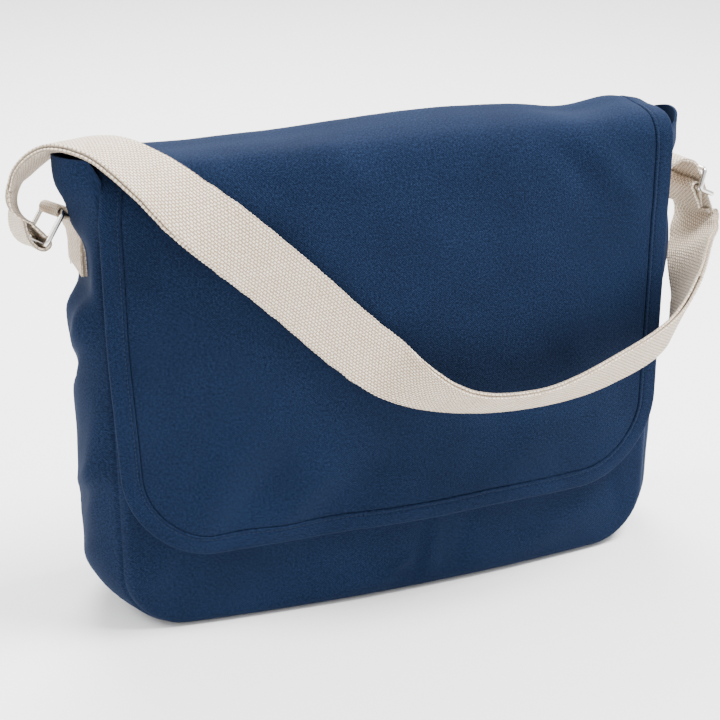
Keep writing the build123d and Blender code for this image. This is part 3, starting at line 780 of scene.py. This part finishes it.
def ring_web():
    """Both layers near the ring and their turn round its lower bar, as one strip."""
    centre, side, out, run = sample_route(STRAP_ROUTE)
    joint = station_at(STRAP_ROUTE, 3, run)
    over = np.cross(RING_AXIS, RING_LEAVE)

    def branch(way):
        return [(centre[k] + way * (out[k] * LAYER * (1 + lens(run[k])) + side[k] * SHIFT), side[k])
                for k in (joint, joint - 4, joint - 10)]

    turn = [(RING_LOW + RING_LEAVE * a + over * b, RING_AXIS) for a, b in RING_PROFILE]
    return ribbon("strap_ring_web", *sample_route(branch(1) + turn + branch(-1)[::-1], 0.6))


neck = ring_web()
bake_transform(neck)
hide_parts("strap_ring_loop", "strap_neck_outer", "strap_neck_inner")
for tag, way in (("outer", 1), ("inner", -1)):
    offset, shift = way * LAYER, way * SHIFT
    rise = layer(f"strap_rise_{tag}_web", STRAP_ROUTE, offset, shift, 3, 7, lens, way)
    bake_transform(rise)
    middle = layer(f"strap_middle_{tag}_web", STRAP_ROUTE, offset, shift, 7, 18, lens, way)
    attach(middle, "strap")
    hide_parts(f"strap_{tag}_layer")

RUN_DOWN = unit(RUN_END - RUN_TOP)
RUN_ACROSS = unit(RUN_SIDE)
RUN_IN = np.cross(RUN_DOWN, RUN_ACROSS)          # towards the bag
SLIDER_MIDDLE = RUN_TOP + RUN_DOWN * 4.5
run_web = layer("strap_run_web", RUN_ROUTE, 0.0, SHIFT, 0, 6)
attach(run_web, "root")
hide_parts("strap_slider_run", "strap_fixed_end")


def strap_turn(name, offset, shift, last):
    """One strap layer up to the slider; the outer one goes on into the run through it."""
    inward = RUN_IN * LAYER
    upper = [RUN_END + RUN_DOWN * 6.5, RUN_END, RUN_END - RUN_DOWN * 11,
             RUN_TOP - RUN_DOWN * 0.6, np.array(RUN_ROUTE[5][0])]
    stations = STRAP_ROUTE[17:] + [((237.0, -9.5, 218.5), (11, -36, 12))]
    stations += [(tuple(place + inward), tuple(RUN_SIDE)) for place in upper]
    piece = layer(name, stations, offset, shift, 1, last, seed=offset)
    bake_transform(piece)


strap_turn("strap_turn_outer_web", LAYER, SHIFT, 7)
strap_turn("strap_turn_inner_web", -LAYER, -SHIFT, 5)

bar_centre = SLIDER_MIDDLE + RUN_IN * BAR_SINK
end_route = turn_round(bar_centre, RUN_ACROSS, unit(RUN_DOWN + RUN_IN * 0.12), 1.0, 17.0)
end_web = ribbon("strap_end_web", *sample_route(end_route), width=NARROW)
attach(end_web, "slider")
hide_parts("strap_end_loop")


TAB_ACROSS = (-1.0, 40.0, -16.0)       # the tab leans with the ring


def tab_route():
    """Doubled webbing up from the gusset, round the ring's upper bar and down again."""
    leave = unit(np.array((-199.0, 0.0, 275.0)) - RING_TOP)
    loop = turn_round(RING_TOP, RING_AXIS, leave, 1.1, 8.0)
    inner = [((-197.5, 0, 269), TAB_ACROSS)] + [((-197.7, 0, z), TAB_ACROSS) for z in (261, 253, 244)]
    outer = [((-199.8, 0, z), TAB_ACROSS) for z in (244, 253, 260)] + [((-200.4, 0, 267), TAB_ACROSS)]
    return outer + loop + inner


tab = ribbon("tab_web", *sample_route(tab_route()), width=NARROW, seed=2.0)
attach(tab, "root")
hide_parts("tab_left")

# ---- wire ------------------------------------------------------------------------------------


def bent_wire(corners, bend):
    """Points round a closed loop of straight runs with rounded corners."""
    points = []
    count = len(corners)
    for i in range(count):
        before, here, after = corners[i - 1], corners[i], corners[(i + 1) % count]
        a, b = unit(before - here), unit(after - here)
        half = np.arccos(np.clip(a @ b, -1, 1)) / 2
        room = 0.45 * min(np.linalg.norm(before - here), np.linalg.norm(after - here))
        cut = min(bend / np.tan(half), room)
        radius = cut * np.tan(half)
        middle = here + unit(a + b) * radius / sin(half)
        start, end = here + a * cut - middle, here + b * cut - middle
        sweep = np.arccos(np.clip(unit(start) @ unit(end), -1, 1))
        for s in np.linspace(0, 1, 9):
            points.append(middle + (start * sin((1 - s) * sweep) + end * sin(s * sweep)) / sin(sweep))
    return np.array(points)


def tube(name, path, radius, closed, body, *nodes):
    """Round wire along a path, with domed ends where it is open."""
    ring = 20
    if closed:
        ahead = np.roll(path, -1, axis=0) - np.roll(path, 1, axis=0)
        sizes = np.ones(len(path))
    else:
        along = unit(path[-1] - path[0])
        dome = [(1 - cos(a), sin(a)) for a in np.linspace(0.15, pi / 2, 5)]
        first = [path[0] + along * (d * radius * 0.5) for d, _ in dome]
        last = [path[-1] - along * (d * radius * 0.5) for d, _ in reversed(dome)]
        sizes = np.array([s for _, s in dome] + [s for _, s in reversed(dome)])
        path = np.array(first + last)
        ahead = np.tile(along, (len(path), 1))
    ahead = ahead / np.linalg.norm(ahead, axis=1)[:, None]
    if closed:
        quarter, half_way = path[len(path) // 4] - path[0], path[len(path) // 2] - path[0]
        guide = unit(np.cross(quarter, half_way) + np.array((1e-4, 2e-4, 3e-4)))
    else:
        guide = unit(np.cross(ahead[0], np.array((0.3, 0.2, 1.0))))
    side = np.cross(ahead, guide)
    side /= np.linalg.norm(side, axis=1)[:, None]
    up = np.cross(side, ahead)
    angles = 2 * pi * np.arange(ring) / ring
    points = (path[:, None] + radius * sizes[:, None, None] * (
        side[:, None] * np.cos(angles)[None, :, None]
        + up[:, None] * np.sin(angles)[None, :, None]))
    rows = len(path)
    at = np.arange(rows * ring).reshape(rows, ring)
    round_ = np.roll(at, -1, axis=1)
    nxt = np.roll(at, -1, axis=0) if closed else at[1:]
    round_nxt = np.roll(nxt, -1, axis=1)
    here, here_round = (at, round_) if closed else (at[:-1], round_[:-1])
    faces = np.stack([here, here_round, round_nxt, nxt], -1).reshape(-1, 4).tolist()
    if not closed:
        faces += [at[0].tolist()[::-1], at[-1].tolist()]
    flat = np.zeros((rows * ring, 2))
    piece = make_piece(name, points.reshape(-1, 3), faces, flat, NICKEL_LOOK, 60)
    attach(piece, body)
    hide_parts(*nodes)
    return piece


half_bar = RING_INSIDE / 2 + WIRE_R
ring_corners = [RING_TOP - RING_AXIS * half_bar, RING_TOP + RING_AXIS * half_bar,
                RING_LOW + RING_AXIS * half_bar, RING_LOW - RING_AXIS * half_bar]
tube("ring_wire", bent_wire(ring_corners, 3.5), WIRE_R, True, "ring", "ring_left")


def slider_corner(across, down, inward):
    return SLIDER_MIDDLE + RUN_ACROSS * across + RUN_DOWN * down + RUN_IN * inward


high = SLIDER_HIGH / 2
frame_corners = [slider_corner(*place) for place in (
    (-half_bar, -high, -BAR_RISE), (half_bar, -high, -BAR_RISE), (half_bar, 0, BAR_SINK),
    (half_bar, high, -BAR_RISE), (-half_bar, high, -BAR_RISE), (-half_bar, 0, BAR_SINK))]
tube("slider_wire", bent_wire(frame_corners, 3.0), WIRE_R, True, "slider", "slider_frame")
bar_ends = np.array([slider_corner(-half_bar, 0, BAR_SINK), slider_corner(half_bar, 0, BAR_SINK)])
tube("slider_bar_wire", bar_ends, WIRE_R, False, "slider", "slider_center_bar")

# ---- sewn squares ----------------------------------------------------------------------------


def box_line(face_x, low, high_z, reach=15.0, lean=0.0):
    """A stitched square with both its diagonals, as one run of the needle."""
    corners = [(-reach, low), (reach, low), (reach, high_z), (-reach, high_z), (-reach, low),
               (reach, high_z), (reach, low), (-reach, high_z)]
    line = []
    for (y0, z0), (y1, z1) in zip(corners, corners[1:]):
        for s in np.linspace(0, 1, 20)[:-1]:
            y = y0 + (y1 - y0) * s
            line.append((face_x, y, z0 + (z1 - z0) * s + lean * y))
    return np.array(line)


tab_box = box_line(-200.75, 247, 264, lean=TAB_ACROSS[2] / TAB_ACROSS[1])
tab_thread = stitches("tab_thread", tab_box, np.tile((-1.0, 0, 0), (len(tab_box), 1)), 3.0, 2.2,
                      CREAM_THREAD, 0.3)
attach(tab_thread, "root")
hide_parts("tab_stitching")
end_box = box_line(206.15, 231, 256)
end_thread = stitches("fixed_end_thread", end_box, np.tile((1.0, 0, 0), (len(end_box), 1)), 3.0, 2.2,
                      CREAM_THREAD, 0.3)
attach(end_thread, "root")
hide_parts("fixed_end_stitching")

# ---- floor, light and camera -----------------------------------------------------------------


def paint(name, colour, roughness=0.9):
    material, _, shader, _ = nodes_of(name)
    shader.inputs["Base Color"].default_value = (*colour, 1.0)
    shader.inputs["Roughness"].default_value = roughness
    return material


def floor():
    mesh = bpy.data.meshes.new("floor")
    size = 6.0
    corners = [(-size, -size, 0), (size, -size, 0), (size, size, 0), (-size, size, 0)]
    mesh.from_pydata(corners, [], [(0, 1, 2, 3)])
    mesh.materials.append(paint("floor_white", (0.90, 0.90, 0.90)))
    piece = bpy.data.objects.new("floor", mesh)
    bpy.context.scene.collection.objects.link(piece)
    piece.location = (0, 0, -0.0006)


def area_light(name, place, target, size, power, colour=(1, 1, 1)):
    data = bpy.data.lights.new(name, "AREA")
    data.shape, data.size, data.energy, data.color = "DISK", size, power, colour
    lamp = bpy.data.objects.new(name, data)
    lamp.location = place
    lamp.rotation_euler = (Vector(target) - Vector(place)).to_track_quat("-Z", "Y").to_euler()
    bpy.context.scene.collection.objects.link(lamp)


def studio():
    floor()
    world = bpy.data.worlds.new("studio")
    world.use_nodes = True
    background = world.node_tree.nodes["Background"]
    background.inputs["Color"].default_value = (1.0, 1.0, 1.0, 1.0)
    background.inputs["Strength"].default_value = 1.5
    bpy.context.scene.world = world
    area_light("key", (1.0, -0.5, 2.1), (0, 0, 0.15), 1.0, 140)
    area_light("back_top", (0.1, 1.2, 1.6), (0, 0, 0.3), 1.2, 66)
    area_light("left", (-1.6, 0.2, 1.6), (-0.1, 0, 0.2), 0.9, 34)


studio()
camera_data = bpy.data.cameras.new("camera")
camera_data.lens, camera_data.sensor_width = 85.0, 36.0
camera = bpy.data.objects.new("camera", camera_data)
camera.location = (-0.3737, -0.9970, 0.6236)
aim = Vector((-0.01083, 0.0, 0.15124)) - camera.location
camera.rotation_euler = aim.to_track_quat("-Z", "Y").to_euler()
bpy.context.scene.collection.objects.link(camera)
bpy.context.scene.camera = camera
